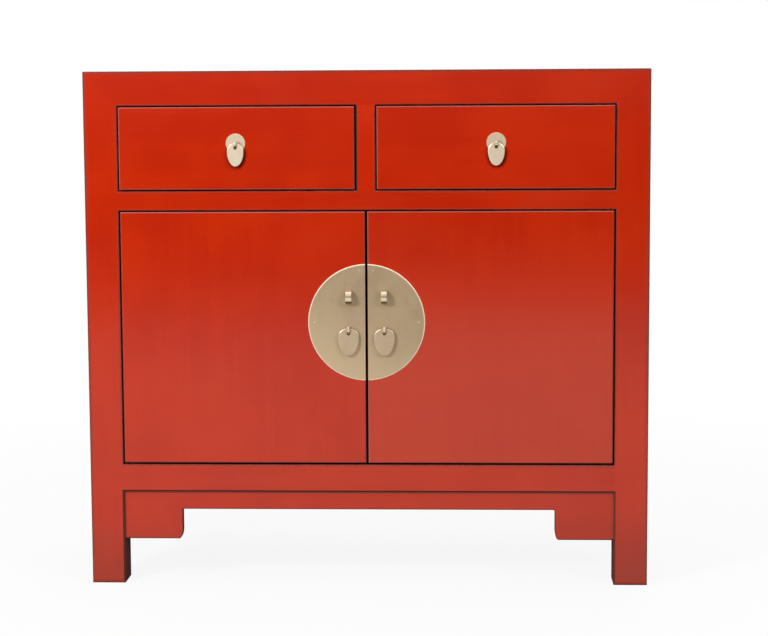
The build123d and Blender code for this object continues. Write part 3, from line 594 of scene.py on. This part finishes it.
# The finish of some nodes on both sides, with the lighter and the darker colour of its patches
Finish = namedtuple("Finish", "nodes light dark metal offset layers")
brass_finishes = {
    "plate": Finish(
        ["face_plate"], (0.57, 0.420, 0.265), (0.49, 0.355, 0.222), plate_metal, 0.0,
        [plate_light_layer, rim_highlight_layer],
    ),
    "door_tag": Finish(
        ["door_tag"], (0.64, 0.49, 0.340), (0.57, 0.43, 0.295), pull_metal, 2.0, [],
    ),
    "drawer_tag": Finish(
        ["drawer_tag"], (0.88, 0.74, 0.57), (0.78, 0.64, 0.47), pull_metal, 4.0, [eye_shade_layer],
    ),
    "backplate": Finish(
        ["drawer_backplate"], (0.80, 0.66, 0.48), (0.72, 0.58, 0.41), pull_metal, 6.0, [backplate_shadow_layer],
    ),
    "drawer_cotter": Finish(
        ["drawer_cotter"], (0.92, 0.79, 0.60), (0.80, 0.66, 0.48), cast_metal, 11.0, [eye_shade_layer],
    ),
    "staple": Finish(
        ["lock_staple"], (0.86, 0.73, 0.55), (0.74, 0.60, 0.43), cast_metal, 13.0, [staple_shade_layer],
    ),
    "bright": Finish(
        ["door_cotter", "plate_nails"], (0.92, 0.79, 0.60), (0.80, 0.66, 0.48), cast_metal, 9.0, [],
    ),
}


def brass(name, finish):
    """Champagne brass, brushed down its length or cast, and a little dull in patches, with painted light
    and shade laid over some pieces.
    """
    material, graph = new_material(name)
    place, x, y, z = graph.spot()
    fine = graph.noise(place, finish.metal.fine, finish.offset)
    patches = graph.noise(place, dull_patches, finish.offset)
    base = graph.mix(graph.fade(patches, *dull_fade), finish.light, finish.dark)
    base = graph.mix(graph.times(graph.fade(fine, *fine_fade), fine_share), base, finish.dark)
    uneven = graph.times(graph.minus(patches, noise_middle), dull_roughness)
    roughness = graph.add(finish.metal.roughness, uneven)
    for layer in finish.layers:
        mask = layer.mask(graph, x, y, z)
        base = graph.mix(mask, base, layer.colour)
        roughness = graph.add(roughness, graph.times(mask, layer.roughness))
    relief_surface(graph, base, roughness, fine, brass_relief, finish.metal.metallic)
    return material


# ------------------------------------------------------------------ which node gets which finish
def paint(names, material):
    for name in names:
        body = nodes[name]
        if body.material_slots:
            for place in body.material_slots:
                place.material = material
        else:
            body.data.materials.append(material)


def both_sides(*names):
    return [f"{side}_{name}" for name in names for side in ("left", "right")]


def numbered(groups, start, group_step, piece_step):
    """Each node of the groups with the axis of its grain and an offset for its noises."""
    for group, (along, names) in enumerate(groups.items()):
        for index, name in enumerate(names):
            yield name, along, start + group_step * group + piece_step * index


frame_along = {
    "x": ["top_front_rail", "top_rear_rail", "waist_rail", "rear_waist_rail", "bottom_front_rail",
          "bottom_rear_rail", "top_panel"],
    "y": both_sides("top_side_rail", "bottom_side_rail"),
    "z": both_sides("front_leg", "rear_leg") + ["drawer_divider"],
}
# Painted shade round the apron's mouth and on the divider's left arris
mouth_shade_sides = PaintedShade(mouth_painted_shade, shaded_arris, shaded_side, painted_shade_roughness)
frame_painted_shades = {
    "left_front_leg": mouth_shade_sides,
    "right_front_leg": mouth_shade_sides,
    "bottom_front_rail": mouth_shade_sides,
    "drawer_divider": PaintedShade(divider_painted_shade, shaded_gap, shaded_gap, painted_shade_roughness),
}
frame_shades = {"drawer_divider": divider_shade}
for name, along, offset in numbered(frame_along, start=0.0, group_step=7.0, piece_step=1.7):
    finish = red_lacquer(
        f"lacquer_{name}", along, frame_edges, offset, frame_wear,
        frame_shades.get(name, frame_shade), frame_painted_shades.get(name),
    )
    paint([name], finish)

panel_along = {
    "x": both_sides("drawer_front") + ["front_apron"],
    "y": both_sides("side_apron"),
    "z": both_sides("door_panel", "side_panel"),
}
# Painted shade on the apron's edges, and painted shadows round the drawer pulls
panel_painted_shades = {
    "front_apron": PaintedShade(apron_painted_shade, shaded_side, shaded_side, painted_shade_roughness),
    "left_drawer_front": PaintedShade(tag_painted_shadow("left_drawer_tag"), tag_shadow_red, tag_shadow_red, 0.0),
    "right_drawer_front": PaintedShade(tag_painted_shadow("right_drawer_tag"), tag_shadow_red, tag_shadow_red, 0.0),
}
panel_shades = {
    "left_drawer_front": drawer_shade,
    "right_drawer_front": drawer_shade,
    "right_door_panel": hazy_shade,
}
for name, along, offset in numbered(panel_along, start=31.0, group_step=5.0, piece_step=2.3):
    edges_of = side_edges if "side_" in name else front_edges
    finish = red_lacquer(
        f"lacquer_{name}", along, edges_of(name), offset, panel_wear,
        panel_shades.get(name, panel_shade), panel_painted_shades.get(name),
    )
    paint([name], finish)

inner_along = {
    "x": ["back_panels", "bottom_panel", "shelf", "drawer_stops", "door_stop"]
         + both_sides("drawer_back", "drawer_bottom", "door_battens"),
    "y": ["top_battens", "side_runners", "centre_runner", "shelf_cleats"] + both_sides("drawer_sides"),
    "z": both_sides("door_pivots"),
}
# The pivots and the stops are painted near black, as painted shade where they show in the gaps
shaded_pieces = ("left_door_pivots", "right_door_pivots", "door_stop", "drawer_stops")
for name, along, offset in numbered(inner_along, start=60.0, group_step=5.0, piece_step=2.3):
    wood = shaded_wood if name in shaded_pieces else plain_wood
    paint([name], oiled_wood(f"wood_{name}", along, offset, wood))

for name, finish in brass_finishes.items():
    paint(both_sides(*finish.nodes), brass(f"brass_{name}", finish))

# ------------------------------------------------------------------ floor, studio and light
white = (1.0, 1.0, 1.0)
world_level = 0.25
floor_size = 60.0
bounce_albedo = 0.22
seen_albedo = 0.92
mirrored_albedo = 0.35
mirrored_floor = (1.0, 1.0, 0.86)
near_white = 0.90
near_floor = 0.75
far_floor = 1.9
shade_width = 0.03
shaded_behind = 0.40
studio_radius = 4.2
studio_height = 3.0
studio_sides = 96
studio_black = 0.01
studio_grey = 0.30
studio_side = 0.60
grey_fade = (0.65, 0.95)
side_fade = (0.75, 0.5)


def seen_rays(graph):
    """1 for what the camera, a reflection or a view through glass shows."""
    rays = graph.node("ShaderNodeLightPath").outputs
    return graph.most(rays["Is Camera Ray"], rays["Is Glossy Ray"], rays["Is Transmission Ray"])


def white_world():
    """A world that is seen white, and that lights the object at a low level."""
    world = bpy.data.worlds.new("world")
    world.use_nodes = True
    bpy.context.scene.world = world
    graph = Graph(world.node_tree)
    strength = graph.add(world_level, graph.times(seen_rays(graph), 1.0 - world_level))
    background = graph.node("ShaderNodeBackground", {"Color": white, "Strength": strength})
    graph.surface(background, "ShaderNodeOutputWorld")


def pale_floor():
    """A pale floor that is seen nearly white, with a light shadow, and wholly white further off.

    Reflections show it a warm white, but with painted shade under the cabinet and close behind it.
    """
    bpy.ops.mesh.primitive_plane_add(size=floor_size, location=(0, 0, 0))
    floor = bpy.context.object
    floor.name = "floor"
    material, graph = new_material("pale_floor")
    place, x, y = graph.spot()[:3]
    seen = seen_rays(graph)
    mirrored = graph.node("ShaderNodeLightPath").outputs["Is Glossy Ray"]

    tint = graph.mix(seen, tinted(white, bounce_albedo), tinted(white, seen_albedo))
    tint = graph.mix(mirrored, tint, tinted(white, mirrored_albedo))
    matt = graph.node("ShaderNodeBsdfDiffuse", {"Color": tint})
    shown_white = graph.mix(mirrored, white, mirrored_floor)
    glow = graph.node("ShaderNodeEmission", {"Color": shown_white, "Strength": 1.0})

    away = graph.node("ShaderNodeVectorMath", {0: place}, operation="LENGTH").outputs["Value"]
    further = graph.times(graph.fade(away, near_floor, far_floor), 1.0 - near_white)
    beside = graph.minus(graph.absolute(x), side_x)
    before = graph.minus(front_y, y)
    behind = graph.minus(y, rear_y + shaded_behind)
    for_mirrors = graph.fade(graph.most(beside, before, behind), 0.0, shade_width)
    whiteness = graph.blend(mirrored, graph.add(near_white, further), for_mirrors)
    shares = {0: graph.times(seen, whiteness), 1: matt.outputs[0], 2: glow.outputs[0]}
    graph.surface(graph.node("ShaderNodeMixShader", shares))
    floor.data.materials.append(material)


def studio_walls():
    """Walls that only the gloss shows: dark behind the camera, grey higher up, pale at the sides."""
    bpy.ops.mesh.primitive_cylinder_add(
        vertices=studio_sides, radius=studio_radius, depth=studio_height, end_fill_type="NOTHING"
    )
    walls = bpy.context.object
    walls.name = "studio_walls"
    walls.data.transform(Matrix.Translation((0, 0, studio_height / 2)))
    material, graph = new_material("studio_walls")
    y, z = graph.spot()[2:]
    forward = graph.over(y, -studio_radius)
    side = graph.times(graph.fade(forward, *side_fade), studio_side)
    above = graph.times(graph.fade(z, *grey_fade), studio_grey)
    strength = graph.most(side, above, studio_black)
    graph.surface(graph.node("ShaderNodeEmission", {"Color": white, "Strength": strength}))
    walls.data.materials.append(material)
    walls.visible_camera = False
    walls.visible_diffuse = False
    walls.visible_shadow = False
    walls.visible_transmission = False


def softbox(name, place, aim, size, power):
    """A square lamp, with its width in metres and its power in watts."""
    lamp = bpy.data.lights.new(name, "AREA")
    lamp.shape = "SQUARE"
    lamp.size = size
    lamp.energy = power
    holder = bpy.data.objects.new(name, lamp)
    holder.location = place
    holder.rotation_euler = (Vector(aim) - Vector(place)).to_track_quat("-Z", "Y").to_euler()
    bpy.context.scene.collection.objects.link(holder)


white_world()
pale_floor()
studio_walls()
softbox("key", (-1.58, -2.01, 1.65), (0.0, front_y, 0.5), 0.6, 48.0)
softbox("fill", (1.79, -1.98, 1.80), (0.0, front_y, 0.5), 0.7, 25.0)
softbox("above", (0.0, 0.3, 3.0), (0.0, 0.0, 0.8), 2.0, 15.0)
softbox("back", (0.6, 2.6, 2.4), (0.0, rear_y, 0.4), 1.8, 40.0)

# ------------------------------------------------------------------ camera
image_width = 768
focal_pixels = 2000.0
sensor_width = 36.0
clip_near = 0.05
clip_far = 100.0
camera_place = Vector((0.161785, front_y - 3.069219, 0.755245))
camera_pitch = 0.108901
camera_yaw = 0.0439154
camera_roll = -0.00547844


def aim_camera():
    """A long lens nearly as high as the cabinet's top, a little right of the middle."""
    level_part = cos(camera_pitch)
    ahead = Vector((-sin(camera_yaw) * level_part, cos(camera_yaw) * level_part, -sin(camera_pitch)))
    level_right = Vector((cos(camera_yaw), sin(camera_yaw), 0.0))
    level_up = level_right.cross(ahead)
    right = cos(camera_roll) * level_right + sin(camera_roll) * level_up
    up = -sin(camera_roll) * level_right + cos(camera_roll) * level_up
    lens = bpy.data.cameras.new("camera")
    lens.sensor_width = sensor_width
    lens.lens = focal_pixels / image_width * sensor_width
    lens.clip_start = clip_near
    lens.clip_end = clip_far
    holder = bpy.data.objects.new("camera", lens)
    turn = Matrix((right, up, -ahead)).transposed().to_4x4()
    holder.matrix_world = Matrix.Translation(camera_place) @ turn
    bpy.context.scene.collection.objects.link(holder)
    bpy.context.scene.camera = holder


aim_camera()
bpy.context.scene.view_settings.view_transform = "Standard"
